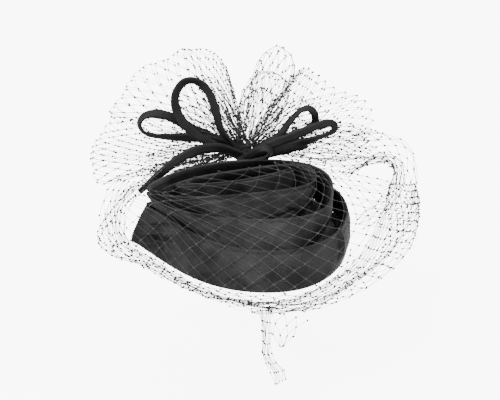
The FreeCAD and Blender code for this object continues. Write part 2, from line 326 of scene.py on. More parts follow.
def middleFoot(angle):
    return moved(leaf(angle, 5.0, 57.5, 47.5, 0.8), 0, 1, 18.4)


def middleRim(angle):
    rise = 5.8 * np.sin(angle) - pointedness(angle) ** 3
    return moved(leaf(angle, 0.9, 65.3, 29.0, 0.5, 0.2, 0.75), 0, 1.2, 42.7 + rise)


def upperFoot(angle):
    return moved(turned(leaf(angle, 3.5, 44.5, 26.0, 0.7), upperTurn), 0, 1, 25)


def upperRim(angle):
    rise = 1.5 * np.sin(angle) + 1.0 * np.cos(angle)
    return moved(turned(leaf(angle, 0.5, 54.5, 13.0, 0.3, 0.5, 0.8), upperTurn), 0, 4.5, 46.5 + rise)


def creases(x, y, folds):
    # sum of soft ridges: height exp(-(distance to the crease / width)^2), fading toward the crease's ends
    total = np.zeros_like(x)
    for x0, y0, x1, y1, width, height in folds:
        length = math.hypot(x1 - x0, y1 - y0)
        ax, ay = (x1 - x0) / length, (y1 - y0) / length
        along = ((x - x0) * ax + (y - y0) * ay) / length
        off = (x - x0) * -ay + (y - y0) * ax
        off = off + 0.8 * np.sin(along * 5 + x0)
        fade = np.exp(-np.maximum(0, np.abs(along - 0.5) - 0.35) ** 2 / 0.02)
        total += height * np.exp(-(off / width) ** 2) * fade
    return total


def puckers(x, y, seed, size):
    # slow diagonal waves of cloth: a few sines with seeded directions, lengths and phases
    draw = np.random.default_rng(seed)
    total = np.zeros_like(x)
    for _ in range(7):
        length, lean, phase = draw.uniform(14, 48), draw.uniform(0.3, 1.2), draw.uniform(0, 6.28)
        total += np.sin((x * math.cos(lean) + y * math.sin(lean)) * 2 * math.pi / length + phase) * size / 7 * 1.6
    return total


bandLook = dict(gauge=2.0, endGap=1.7, steps=440, height=44, fold=7, bead=0.3, press=0.3)
bandShapes = dict(
    lowerBand=dict(node="lower_band", foot=lowerFoot, rim=lowerRim, swell=2.0, seed=3, pucker=0.55,
                   crush=[(26, 14, 15, 9, 1.3), (173, 14, 5, 9, 0.7)], folds=[
        (6, 4, 30, 14, 1.4, 1.9), (8, 12, 40, 25, 1.3, 2.4), (10, 9, 36, 20, 1.1, -2.0),
        (16, 0, 44, 12, 1.6, 1.3),
        (8, 19, 36, 29, 1.2, -2.2), (20, 10, 30, 20, 1.2, 1.6), (14, 14, 22, 24, 1.0, 1.4),
        (28, 6, 52, 26, 3.0, 0.5), (62, 2, 92, 24, 3.2, 0.55), (84, 4, 104, 22, 2.6, 0.45),
        (100, 2, 122, 24, 3.0, 0.5),
        (118, 6, 134, 20, 2.6, -0.4), (150, 2, 158, 26, 2.4, 0.5), (170, 8, 173, 26, 1.5, -1.0),
        (176, 6, 179, 26, 1.6, 0.9), (196, 2, 200, 24, 2.6, 0.6), (232, 4, 250, 22, 3.0, 0.6),
        (280, 4, 300, 22, 3.0, 0.6), (330, 4, 352, 20, 3.0, 0.6)]),
    middleBand=dict(node="middle_band", foot=middleFoot, rim=middleRim, swell=1.5, seed=5, pucker=0.45,
                    crush=[(20, 20, 14, 6, 0.7), (100, 12, 18, 7, 0.4)], folds=[
        (6, 18, 30, 26, 1.8, 0.6), (30, 6, 60, 22, 2.6, 0.4), (52, 14, 84, 27, 2.2, 0.45),
        (90, 8, 112, 26, 2.6, 0.45),
        (112, 18, 132, 24, 1.8, -0.5), (128, 4, 150, 26, 2.6, 0.5), (160, 4, 172, 26, 2.4, 0.5),
        (220, 4, 232, 26, 3.0, 0.7), (250, 6, 270, 26, 3.0, 0.6), (290, 4, 304, 24, 2.8, 0.6)]),
    upperBand=dict(node="upper_band", foot=upperFoot, rim=upperRim, swell=1.0, seed=8, pucker=0.4,
                   crush=[(62, 9, 32, 4, 0.9), (95, 12, 12, 6, 0.6)], folds=[
        (10, 6, 44, 10, 1.6, -0.9), (30, 9, 64, 6, 1.3, 1.1), (50, 4, 90, 9, 1.2, -1.1),
        (26, 10, 50, 22, 2.4, 0.5),
        (96, 6, 106, 22, 2.2, 0.7), (112, 6, 120, 22, 2.2, -0.6), (140, 6, 170, 20, 2.4, 0.4)]))


def bandGrid(shape):
    # middle surface: foot (1 - v) + rim v + swell sin(pi v) outward + creases and puckers along the normal
    u = np.linspace(0, 1, bandLook["steps"])
    v = np.linspace(0, 1, bandLook["height"])
    angle = math.pi * (0.999 + 1.996 * u)
    way = np.where(angle > 2 * math.pi, angle - 2 * math.pi, angle)
    low, high = shape["foot"](way)[:, None], shape["rim"](way)[:, None]
    out = np.stack([np.cos(way), np.sin(way), 0 * way], axis=-1)
    swell = shape["swell"] * (0.3 + 0.7 * (1 + np.cos(way)) / 2)
    share = pointedness(way) ** 2 * bandLook["endGap"]
    side = np.where(u < 0.5, -1, 1)
    apart = np.stack([0 * way, side * share, 0 * way], axis=-1)
    vv = v[None, :, None]
    grid = low * (1 - vv) + high * vv + out[:, None] * (swell[:, None] * np.sin(math.pi * v)[None])[..., None]
    grid = grid + apart[:, None]
    middle = grid[:, len(v) // 2]
    x = np.concatenate([[0], np.cumsum(np.linalg.norm(np.diff(middle, axis=0), axis=1))])
    y = np.linalg.norm(high - low, axis=-1)[:, 0]
    xx, yy = np.broadcast_arrays(x[:, None], y[:, None] * v[None, :])
    wave = creases(xx, yy, shape["folds"]) + puckers(xx, yy, shape["seed"], shape["pucker"])
    for x0, y0, wide, high2, size in shape["crush"]:
        patch = np.exp(-((xx - x0) / wide) ** 2 - ((yy - y0) / high2) ** 2)
        wave = wave + size * patch * puckers(xx * 4, yy * 4, shape["seed"] + 1, 1.0)
    wave = wave * np.minimum(1, 0.25 + v[None, :] * 2.5) * np.minimum(1, 0.35 + (1 - v[None, :]) * 3)
    ease = np.clip(np.minimum(x, x[-1] - x) / 12, 0.1, 1)[:, None]
    normal = gridNormals(grid)
    facing = np.sign(np.sum(normal[:, :, :2] * out[:, None, :2], axis=-1, keepdims=True).mean())
    normal = normal * facing
    # the fold stands out a little along the rim, over a shallow press line
    rim = yy[:, -1:] - yy
    edge = bandLook["bead"] * np.exp(-(rim / 0.8) ** 2) - bandLook["press"] * np.exp(-((rim - 2.4) / 0.8) ** 2)
    grid = grid + normal * (wave * ease + edge)[..., None]
    return grid, normal, xx, yy


def foldedBand(name, shape, mat):
    # section: outer face up, half circle over the rim, inner face down; carried round the crown and capped
    grid, normal, xx, yy = bandGrid(shape)
    half = bandLook["gauge"] / 2
    up = unit(grid[:, -1] - grid[:, -2])[:, None]
    turn = np.linspace(0, math.pi, bandLook["fold"] + 2)[1:-1][None, :, None]
    top = grid[:, -1][:, None] + (normal[:, -1][:, None] * np.cos(turn) + up * np.sin(turn)) * half
    outer, inner = grid + normal * half, (grid - normal * half)[:, ::-1]
    section = np.concatenate([outer, top, inner], axis=1)
    rows, cols = section.shape[:2]
    k = np.arange(cols // 2 - 1)
    cap = np.stack([k, k + 1, cols - 2 - k, cols - 1 - k], axis=-1)
    faces = [gridFaces(rows, cols, closeCols=True)[:, ::-1], cap, cap[:, ::-1] + (rows - 1) * cols]
    xTop = np.repeat(xx[:, -1:], turn.shape[1], axis=1)
    yTop = yy[:, -1:] + np.linspace(0, half * math.pi, turn.shape[1])[None]
    uv = np.stack([np.concatenate([xx, xTop, xx[:, ::-1]], axis=1),
                   np.concatenate([yy, yTop, 2 * yy[:, -1:] + half * math.pi - yy[:, ::-1]], axis=1)],
                   axis=-1)
    obj = addMesh(name, section.reshape(-1, 3), faces, mat, "headpiece", (shape["node"],), uv.reshape(-1, 2))
    return obj


centreFold = dict(node="centre_fold", start=(-42.5, -1.0, 47.8), end=(38.0, 18.5, 49.0), bend=2.4, drop=19.0,
        drawn=12.0,
                  gap=3.2, gauge=1.5, steps=90, height=18)


def innerFold(mat):
    # the doubled end: a hairpin in plan about a line whose y grows as u^bend, from the cut edge and back to
    # it
    f = centreFold
    start, end = np.array(f["start"]), np.array(f["end"])
    u = np.linspace(0, 1, f["steps"])
    line = start + (end - start) * np.stack([u, u ** f["bend"], u], axis=-1)
    way = unit(np.gradient(line, axis=0) * [1, 1, 0])
    side = np.cross([0, 0, 1.0], way) * f["gap"] / 2
    turn = np.linspace(math.pi / 2, 3 * math.pi / 2, 14)[1:-1, None]
    bend = start + way[0] * np.cos(turn) * f["gap"] / 2 - side[0] * np.sin(turn)
    path = np.concatenate([(line - side)[::-1], bend, (line + side)[:-1]])
    share = np.concatenate([1 - u, 1 + 0 * turn[:, 0], 1 - u[:-1]])
    share[:len(u)] = share[:len(u)][::-1]
    step = np.concatenate([[0], np.cumsum(np.linalg.norm(np.diff(path, axis=0), axis=1))])
    v = np.linspace(0, 1, f["height"])
    fall = np.stack([f["drawn"] * share, -3 + 0 * share, -f["drop"] + 0 * share], axis=-1)
    grid = path[:, None] + fall[:, None] * (1 - v)[None, :, None]
    xx, yy = np.broadcast_arrays(step[:, None], f["drop"] * v[None])
    normal = gridNormals(grid)
    wave = puckers(xx, yy, 12, 0.3) + creases(xx, yy, [(10, 12, 50, 16, 1.5, 0.35),
            (90, 10, 130, 15, 1.5, 0.35)])
    grid = grid + normal * wave[..., None] * 0.6
    half = f["gauge"] / 2
    up = unit(grid[:, -1] - grid[:, -2])[:, None]
    arc = np.linspace(0, math.pi, 7)[1:-1][None, :, None]
    top = grid[:, -1][:, None] + (normal[:, -1][:, None] * np.cos(arc) + up * np.sin(arc)) * half
    section = np.concatenate([grid + normal * half, top, (grid - normal * half)[:, ::-1]], axis=1)
    rows, cols = section.shape[:2]
    k = np.arange(cols // 2)
    cap = np.stack([k, k + 1, cols - 2 - k, cols - 1 - k], axis=-1)[:-1]
    faces = [gridFaces(rows, cols, closeCols=True)[:, ::-1], cap, cap[:, ::-1] + (rows - 1) * cols]
    uv = np.stack([np.repeat(step[:, None], cols, axis=1),
                   np.repeat(np.linspace(0, 2 * f["drop"], cols)[None], rows, axis=0)], axis=-1)
    obj = addMesh("centreFold", section.reshape(-1, 3), faces, mat, "headpiece", (f["node"],),
            uv.reshape(-1, 2))
    return obj


# ---- rouleau bow

knotPlace = nodeCentre("knot_wrap") + np.array([-0.6, 0, -2.0])
bowLean = math.radians(13.0)


def onBow(points):
    # plane leaning back through the knot: x = u, y = v sin + w cos, z = v cos - w sin
    p = np.asarray(points, float)
    c, s = math.cos(bowLean), math.sin(bowLean)
    return knotPlace + np.stack([p[:, 0], p[:, 1] * s + p[:, 2] * c, p[:, 1] * c - p[:, 2] * s], axis=-1)


rouleauLook = dict(width=6.0, thickness=3.0, steps=150, around=24, groove=0.16)


def rouleau(name, nodes, points, twists, mat, widths=(1, 1), ends=(1, 1)):
    # flat tube on a path: section = superellipse width x thickness with a pressed groove, turned by the
    # twist; its face looks to the front where the twist is 0 and sideways where it is 90 degrees
    r = rouleauLook
    path = evenly(points, r["steps"])
    s = np.linspace(0, 1, r["steps"])
    tangent = unit(np.gradient(path, axis=0))
    front = np.array([0.0, -math.cos(bowLean), math.sin(bowLean)])
    facing = unit(front - tangent * (tangent @ front)[:, None])
    side = np.cross(tangent, facing)
    twist = np.radians(through(np.array(twists, float)[:, None], s)[:, 0])[:, None]
    wide = side * np.cos(twist) + facing * np.sin(twist)
    thin = facing * np.cos(twist) - side * np.sin(twist)
    phi = np.linspace(0, 2 * math.pi, r["around"], endpoint=False)
    a = np.sign(np.cos(phi)) * np.abs(np.cos(phi)) ** 0.8
    b = np.sign(np.sin(phi)) * np.abs(np.sin(phi)) ** 0.9
    b = b * (1 - r["groove"] * np.exp(-(np.cos(phi) / 0.22) ** 2))
    size = through(np.array(widths, float)[:, None], s)[:, 0]
    length = np.linalg.norm(np.diff(path, axis=0), axis=1).sum()
    ripple = 1 + 0.035 * np.sin(s * length / 3.1 + 1.3) + 0.03 * np.sin(s * length / 1.9)
    nearEnd = np.minimum(s, 1 - s) * length
    closing = np.where(s < 0.5, ends[0], ends[1])
    rounding = np.where(closing > 0, np.sqrt(np.clip(nearEnd / 1.2, 0.02, 1)), 1)
    w = (r["width"] / 2 * size * ripple)[:, None]
    t = (r["thickness"] / 2 * rounding * (2 - ripple))[:, None]
    ring = path[:, None] + wide[:, None] * (w * a[None])[..., None] + thin[:, None] * (t * b[None])[..., None]
    rows, cols = ring.shape[:2]
    ends = [np.arange(cols)[None, ::-1], np.arange(cols)[None] + (rows - 1) * cols]
    faces = [gridFaces(rows, cols, closeCols=True)] + ends
    x = s * length
    uv = np.stack([np.repeat(x[:, None], cols, axis=1), np.repeat((phi * r["width"] / 2.6)[None], rows,
            axis=0)], axis=-1)
    obj = addMesh(name, ring.reshape(-1, 3), faces, mat, "headpiece", nodes, uv.reshape(-1, 2))
    fixNormals(obj)
    return obj


def fixNormals(obj):
    # turns a closed shell's faces outward when its signed volume is negative
    mesh = obj.data
    mesh.calc_loop_triangles()
    tris = np.empty(len(mesh.loop_triangles) * 3, np.int32)
    mesh.loop_triangles.foreach_get("vertices", tris)
    co = np.empty(len(mesh.vertices) * 3)
    mesh.vertices.foreach_get("co", co)
    p = co.reshape(-1, 3)[tris.reshape(-1, 3)]
    if np.sum(np.cross(p[:, 0], p[:, 1]) * p[:, 2]) < 0:
        mesh.flip_normals()


def makeBow(mat):
    upright = [(-2, 1, 1), (-9, 11, 1), (-16.6, 22, 1), (-20, 35, 1), (-25, 49.5, 1), (-31.5, 57, 1),
            (-38.5, 59.4, 0),
               (-44.8, 56.5, 0), (-49.2, 48, 0), (-49, 39.5, 0), (-45.4, 31, -0.5), (-39, 22.4, -1),
               (-30, 15.6, -1),
               (-20, 10, -1), (-8, 4, 0), (-1, 0, 0)]
    low = [(-2, 2, 6), (-14, 9.5, 6.5), (-34, 14.2, 6), (-50, 14.8, 5), (-66, 16.4, 4), (-73.2, 19.6, 4),
            (-75.6, 25.6, 4),
           (-72, 31.2, 4), (-64.5, 32.9, 4), (-56, 31.4, 4.5), (-47.5, 27.4, 5.5), (-38, 21, 6.5),
           (-24, 14, 8),
           (-6, 7, 9), (-1, 3, 8)]
    small = [(2, 3, -1), (13, 10, -1), (24, 16, -1), (28.5, 21.5, -1), (32.5, 28, -1), (37, 33, -0.5),
            (41.5, 37, 0),
             (46, 38, 1), (49.8, 35.6, 2), (51.6, 30.6, 3), (50.6, 24, 4.5), (44, 18.6, 5), (28, 12, 5),
             (10, 5, 5),
             (2, 1, 4)]
    long = [(2, 3, -6), (12, 9.5, -6), (24, 14.8, -6), (34, 18.6, -6), (44, 23.2, -5.5), (54, 27, -5),
            (61, 28.6, -4.5),
            (65.2, 27, -4), (64.6, 22.6, -4), (59, 19.4, -4), (47, 15.2, -4.5), (32, 11.4, -5), (14, 5, -5.5),
            (2, 1, -5.5)]
    rouleau("uprightLoop", ("upright_loop",), onBow(upright),
            [20, 30, 25, 10, 0, 15, 20, 10, 0, 0, 10, 20, 30, 30],
            mat, (0.8, 0.95, 1.0, 1.05, 1.05, 1.0, 1.0, 1.05, 1.1, 1.1, 1.05, 1.0, 0.8))
    rouleau("lowLoop", ("low_loop",), onBow(low), [20, 10, 0, 0, 35, 62, 70, 30, 0, 0, 10, 20, 20], mat,
            (0.8, 1.1, 1.2, 1.15, 1.1, 1.1, 1.1, 1.2, 1.25, 1.2, 1.1, 0.8))
    rouleau("smallRightLoop", ("small_right_loop",), onBow(small),
            [40, 30, 20, 25, 60, 75, 30, 10, 20, 55, 60, 40, 20],
            mat, (0.8, 0.9, 0.95, 0.9, 0.9, 0.95, 1.0, 1.0, 0.95, 0.9, 0.8))
    rouleau("longRightLoop", ("long_right_loop",), onBow(long),
            [30, 20, 10, 0, 0, 10, 35, 60, 30, 0, 0, 10, 20], mat,
            (0.8, 1.1, 1.15, 1.1, 1.0, 1.0, 1.1, 1.1, 1.15, 1.1, 0.8))
    rouleau("rightTail", ("right_tail",), onBow([(2, 0, -1), (16, 3.6, -0.5), (32, 7.6, 0), (45.5, 11, 0)]),
            [20, 10, 0, 0], mat, (0.8, 1.1, 1.15, 1.1))
    arch = [(0, 2, -6), (4, 5, -8.5), (9.5, 9.6, -10.2), (16, 11.4, -11), (19, 8.6, -11.2), (16, 4.5, -11),
            (9, 1.5, -9.5),
            (2, -2, -6.5)]
    rouleau("knotArch", ("knot_arch",), onBow(arch), [10, 10, 10, 40, 60, 40, 10, 10], mat,
            (0.9, 0.95, 0.95, 0.9))
    tail = np.array([(2, 42, 47), (-8, 41, 52), (-20, 38.5, 55), (-32, 34.5, 54.6), (-45, 28.5, 50.4),
            (-58, 20.5, 42.6),
                     (-71.6, 12.4, 33.8)], float)
    rouleau("leftTail", ("left_tail",), tail, [30, 10, 0, 0, 0, 10, 20], mat,
            (0.9, 1.2, 1.25, 1.15, 0.95, 0.75))


knotLook = dict(radius=(5.4, 5.2, 6.8), folds=5, depth=0.5, rings=40, around=64)


def makeKnot(mat):
    # pleated lump: ellipsoid with radius 1 - depth |sin(folds angle + twist)|, pinched at both sides
    k = knotLook
    lat = np.linspace(0.02, math.pi - 0.02, k["rings"])[:, None]
    lon = np.linspace(0, 2 * math.pi, k["around"], endpoint=False)[None]
    pleat = 1 - 0.1 * np.abs(np.sin(k["folds"] * (lat + 0.25 * np.sin(lon + 0.6)))) ** 0.6
    waist = 1 + 0.14 * np.cos(2 * lon)
    x = k["radius"][0] * np.cos(lat) * (1 + 0 * lon)
    y = k["radius"][1] * np.sin(lat) * np.cos(lon) * pleat * waist
    z = k["radius"][2] * np.sin(lat) * np.sin(lon) * pleat
    ring = np.stack([x * (1 + 0 * lon), y, z], axis=-1) + knotPlace
    rows, cols = ring.shape[:2]
    faces = [gridFaces(rows, cols, closeCols=True), np.arange(cols)[None, ::-1],
             np.arange(cols)[None] + (rows - 1) * cols]
    uv = np.stack([np.broadcast_to(lat * 6, (rows, cols)), np.broadcast_to(lon * 5, (rows, cols))], axis=-1)
    obj = addMesh("knotWrap", ring.reshape(-1, 3), faces, mat, "headpiece", ("knot_wrap",), uv.reshape(-1, 2))
    fixNormals(obj)
    return obj


# ---- net

netYarn = dict(edge=8.5, radius=0.16, knot=0.9, sides=4, between=3, laidShut=0.46, covered=0.302)


def tubes(strands, radius, sides):
    # round tubes on many paths: each ring stands across the path, turned from the direction it follows least
    verts, quads, caps, start = [], [], [], 0
    phi = np.linspace(0, 2 * math.pi, sides, endpoint=False)
    for path in strands:
        tangent = unit(np.gradient(path, axis=0))
        least = np.linalg.svd(tangent, full_matrices=True)[2][-1]
        side = unit(np.cross(tangent, least))
        other = np.cross(tangent, side)
        ring = path[:, None] + radius * (side[:, None] * np.cos(phi)[None, :, None]
                                         + other[:, None] * np.sin(phi)[None, :, None])
        rows = len(path)
        verts.append(ring.reshape(-1, 3))
        quads.append(gridFaces(rows, sides, closeCols=True, start=start)[:, ::-1])
        caps.append(np.stack([np.arange(sides), np.arange(sides)[::-1] + (rows - 1) * sides]) + start)
        start += rows * sides
    return np.concatenate(verts), np.concatenate(quads), np.concatenate(caps)


def knotTemplate():
    # twelve corners of an icosahedron, slightly flattened
    g = (1 + math.sqrt(5)) / 2
    corners = []
    for a in (-1, 1):
        for b in (-g, g):
            corners += [(0, a, b), (a, b, 0), (b, 0, a)]
    p = unit(np.array(corners, float))
    gaps = np.linalg.norm(p[:, None] - p[None], axis=-1)
    near = (gaps < 1.1) & (gaps > 0)
    faces = [(i, j, k) for i in range(12) for j in range(i + 1, 12) for k in range(j + 1, 12)
             if near[i, j] and near[j, k] and near[i, k]]
    faces = [f if np.dot(np.cross(p[f[1]] - p[f[0]], p[f[2]] - p[f[0]]),
            p[f[0]]) > 0 else f[::-1] for f in faces]
    return p, np.array(faces)


knotCorners, knotFaces = knotTemplate()


def knots(places, size, seed):
    # a small lump at each crossing, each stretched and turned a little differently
    draw = np.random.default_rng(seed)
    count = len(places)
    scale = size * draw.uniform(0.75, 1.15, (count, 1, 3)) * [1.25, 0.7, 0.85]
    spin = draw.uniform(0, 6.28, count)
    c, s = np.cos(spin)[:, None], np.sin(spin)[:, None]
    p = knotCorners[None] * scale
    p = np.stack([p[..., 0] * c - p[..., 2] * s, p[..., 1], p[..., 0] * s + p[..., 2] * c], axis=-1)
    faces = knotFaces[None] + (np.arange(count) * 12)[:, None, None]
    return (p + places[:, None]).reshape(-1, 3), faces.reshape(-1, 3)


def drift(shape, seed, size, length):
    # smooth wander of a grid of places: sines of row and column with seeded phases
    draw = np.random.default_rng(seed)
    i, j = np.meshgrid(np.arange(shape[0]), np.arange(shape[1]), indexing="ij")
    total = np.zeros((*shape, 3))
    for _ in range(5):
        a, b = draw.uniform(-1, 1, 2) * 6.28 / length
        total += np.sin(i * a + j * b + draw.uniform(0, 6.28))[..., None] * draw.normal(0, 1, 3)
    return total * size / 3


def meshStrands(grid, keep):
    # diagonal neighbours of a grid whose row + column is even are joined; a strand breaks where keep is false
    rows, cols = grid.shape[:2]
    strands = []
    for slope in (1, -1):
        for first in range(-rows, cols + rows):
            i = np.arange(rows)
            j = first + slope * i
            ok = (j >= 0) & (j < cols) & ((i + j) % 2 == 0)
            i, j = i[ok], j[ok]
            if len(i) < 2:
                continue
            held = keep[i, j]
            breaks = np.flatnonzero(np.diff(np.concatenate([[0], held.astype(int), [0]])))
            for a, b in zip(breaks[::2], breaks[1::2]):
                if b - a >= 2:
                    path = grid[i[a:b], j[a:b]]
                    strands.append(through(path, np.linspace(0, 1, (b - a - 1) * netYarn["between"] + 1)))
    return strands


def netPiece(name, layers, mat, body, nodes, held, seed, cords=()):
    # strands and knots of one piece of net; each layer is a grid of places, which of them to keep, and its
    # wander; cords are folded or selvedge edges, each a path of its own
    strands, crossings = [], []
    for n, (grid, keep, wander) in enumerate(layers):
        rows, cols = grid.shape[:2]
        grid = grid + drift((rows, cols), seed + 7 * n, wander, 9) + drift((rows, cols), seed + 7 * n + 1,
                wander * 0.6, 3)
        keep = np.ones((rows, cols), bool) if keep is None else keep
        i, j = np.meshgrid(np.arange(rows), np.arange(cols), indexing="ij")
        strands += meshStrands(grid, keep)
        crossings.append(grid[keep & ((i + j) % 2 == 0)])
    crossings = np.concatenate(crossings)
    strands += [cord + drift((len(cord), 1), seed + 50 + n, 0.5, 14)[:, 0] for n, cord in enumerate(cords)]
    tubeVerts, quads, caps = tubes(strands, netYarn["radius"], netYarn["sides"])
    knotVerts, tris = knots(crossings, netYarn["knot"], seed + 2)
    verts = np.concatenate([tubeVerts, knotVerts])
    obj = addMesh(name, verts, [quads, caps, tris + len(tubeVerts)], mat, body, nodes)
    # netYarn's laidShut and covered are fitted numbers, not a measured cut: laidShut edge^2 for each knot, in a
    # strip twice as long as wide, gives a flat size, and since the holes have no surface, covered times that
    # strip is near what the yarn alone covers; neither is worked out in this function
    return obj


def netRows(surface, cols, start=0.0, stop=1.0, least=0.35):
    # places of rows along a surface: a step of sqrt(edge^2 - half cell^2) from each row to the next
    q = np.linspace(start, stop, 241)
    v = np.linspace(0, 1, cols)
    grid = surface(q, v)
    widths = np.linalg.norm(np.diff(grid, axis=1), axis=-1).mean(axis=1)
    lengths = np.linalg.norm(np.diff(grid, axis=0), axis=-1).mean(axis=1)
    along = np.concatenate([[0], np.cumsum(lengths)])
    places, here = [0.0], 0.0
    edge = netYarn["edge"]
    while here < along[-1]:
        half = np.interp(here, along, widths)
        here += max(math.sqrt(max(edge ** 2 - half ** 2, 0)), least * edge)
        places.append(here)
    places = np.array(places[:-1]) * (along[-1] / places[-2])
    return surface(np.interp(places, along, q), v)


def railSurface(rails):
    # rails are curves from the first end to the last; a smooth curve crosses them
    def surface(q, v):
        along = np.stack([through(rail, q) for rail in rails])
        return np.swapaxes(through(along, v), 0, 1)
    return surface


fanRoot = nodeCentre("gather_tie") + np.array([0, 0, -3.5])
fanLean = math.radians(19.0)


def onFan(u, v, w):
    # plane leaning back through the gathered neck: x = u, y = v sin + w cos, z = v cos - w sin
    c, s = math.cos(fanLean), math.sin(fanLean)
    return fanRoot + np.stack(np.broadcast_arrays(u, v * s + w * c, v * c - w * s), axis=-1)


def puff(outline, depth, pleats, neck=(0, 6), neckWidth=3.5, lean=0.0, waves=0.0):
    # a pouf: out from the neck to the outline in front and back behind; reach = sin(pi q / 2), depth =
    # -sin(pi q)
    def surface(q, v):
        rim = through(np.array(outline, float), v)
        start = np.stack([neck[0] + neckWidth * (v - 0.5) * 2, neck[1] + 0 * v], axis=-1)
        reach = np.sin(math.pi * q / 2)[:, None]
        u = start[None, :, 0] * (1 - reach) + rim[None, :, 0] * reach
        w2 = start[None, :, 1] * (1 - reach) + rim[None, :, 1] * reach
        deep = -np.sin(math.pi * q)[:, None] * depth
        pleat = pleats[1] * np.sin(2 * math.pi * pleats[0] * v + pleats[2])[None] * reach * (0.35 + 0.65 * reach)
        roll = waves * np.sin(5.0 * v * math.pi + 3 * q[:, None])
        return onFan(u, w2, deep + pleat + lean * reach + roll)
    return surface


fans = dict(
    netLeftFan=dict(node="veil_left_fan", cells=13, stop=1.75, depth=7, pleats=(2.5, 3.0, 0.4), lean=6,
    seed=21, outline=[
        (-66, -9), (-86, -14.5), (-108, -20.8), (-112.5, -11), (-114.5, -1.5), (-112, 8), (-106, 16),
        (-99, 29)]),
    netLeftUpper=dict(node="veil_left_upper", cells=18, stop=1.8, depth=8, pleats=(3.0, 3.5, 1.0), lean=8,
    seed=31,
                      outline=[(-99, 27), (-100, 34), (-91, 46), (-85, 55), (-74, 65.5), (-60, 72.5),
                      (-48, 81), (-39, 79),
                               (-28, 79), (-19, 74.5), (-13.5, 65), (-10.5, 52)]),
    netBackLobe=dict(node="veil_back_lobe", cells=8, stop=1.7, depth=9, pleats=(2.0, 3.0, 0.0), lean=12,
    seed=41,
                     wander=1.2, folds=(0.97, 1.03), outline=[
        (4, 50), (8, 64), (13, 74), (22, 80), (30, 77), (36, 69), (36, 58)]),
    netCentreLobe=dict(node="veil_centre_lobe", cells=9, stop=1.9, depth=8, pleats=(2.0, 2.0, 2.0), lean=-5,
    seed=51,
                       wander=1.5, folds=(0.95, 1.0, 1.06),
                       outline=[(-6, 26), (-4, 40), (1, 52.6), (8, 61), (17, 64.5), (28, 60), (31.5, 50),
                       (28.8, 38.6),
                                (20, 28)]),
    netRightFan=dict(node="veil_right_fan", cells=15, stop=1.8, depth=7, pleats=(3.0, 3.0, 0.8), lean=6,
    seed=61, outline=[
        (34, 57), (40, 63), (44.5, 67), (50, 62), (57, 57), (65, 52), (78, 46.5), (88, 39), (93.5, 30),
        (92.5, 20),
        (86, 8)]))


crumples = dict(
    netLeftFan=[dict(cells=9, stop=1.9, depth=5, pleats=(2.0, 2.5, 1.4), lean=2, wander=1.6, outline=[
        (-46, -13), (-62, -14), (-72, -6), (-68, 4), (-56, 10)]),
                dict(cells=10, stop=1.8, depth=5, pleats=(2.5, 2.0, 0.4), lean=4, wander=1.8, outline=[
        (-22, -8), (-40, -16), (-62, -22), (-76, -19), (-70, -10)])],
    netLeftUpper=[dict(cells=13, stop=1.9, depth=10, pleats=(3.0, 3.0, 0.0), lean=0, wander=2.0, outline=[
        (-44, 12), (-51, 30), (-49, 46), (-41, 59), (-30, 62), (-20, 58), (-15, 40), (-12, 25)]),
                  dict(cells=10, stop=1.8, depth=7, pleats=(2.0, 2.5, 2.0), lean=4, wander=2.4, outline=[
        (-56, 14), (-48, 26), (-40, 36), (-30, 42), (-20, 40), (-12, 30)])],
    netBackLobe=[dict(cells=18, stop=1.7, depth=3, pleats=(4.0, 2.0, 1.0), lean=0, wander=1.4, outline=[
        (-46, -12), (-48, 2), (-36, 15), (-20, 22), (-6, 26), (8, 24), (22, 19), (38, 12), (48, 0)])],
    netCentreLobe=[dict(cells=8, stop=1.9, depth=7, pleats=(2.0, 2.0, 1.0), lean=2, wander=2.2,
    folds=(0.9, 1.0), outline=[
        (-5, 26), (1, 44), (10, 51), (21, 45), (25, 30), (19, 14)])],
    netRightFan=[dict(cells=12, stop=1.9, depth=6, pleats=(3.0, 2.5, 0.0), lean=0, wander=2.0, outline=[
        (38, 26), (58, 27), (78, 22), (92, 13), (88, 1), (70, -5), (48, -5)]),
                 dict(cells=9, stop=1.8, depth=6, pleats=(2.0, 2.0, 2.0), lean=4, wander=2.2, outline=[
        (36, 44), (48, 44), (58, 36), (62, 24), (54, 12), (40, 2)])])


def makeFans(mat):
    for name, f in fans.items():
        layers, cords = [], []
        for part in [f] + crumples[name]:
            surface = puff(part["outline"], part["depth"], part["pleats"], lean=part["lean"])
            cords += [surface(np.array([q]), np.linspace(0.04, 0.96, 90))[0] for q in part.get("folds", ())]
            grid = netRows(surface, 2 * part["cells"] + 1, 0.07, part["stop"])
            layers.append((grid, None, part.get("wander", 0.6)))
        netPiece(name, layers, mat, "headpiece", (f["node"],), "gathered", f["seed"], cords)


tackPlace = np.array([7.0, 18.0, 50.5])       # where the front net is sewn down, behind the upper rim


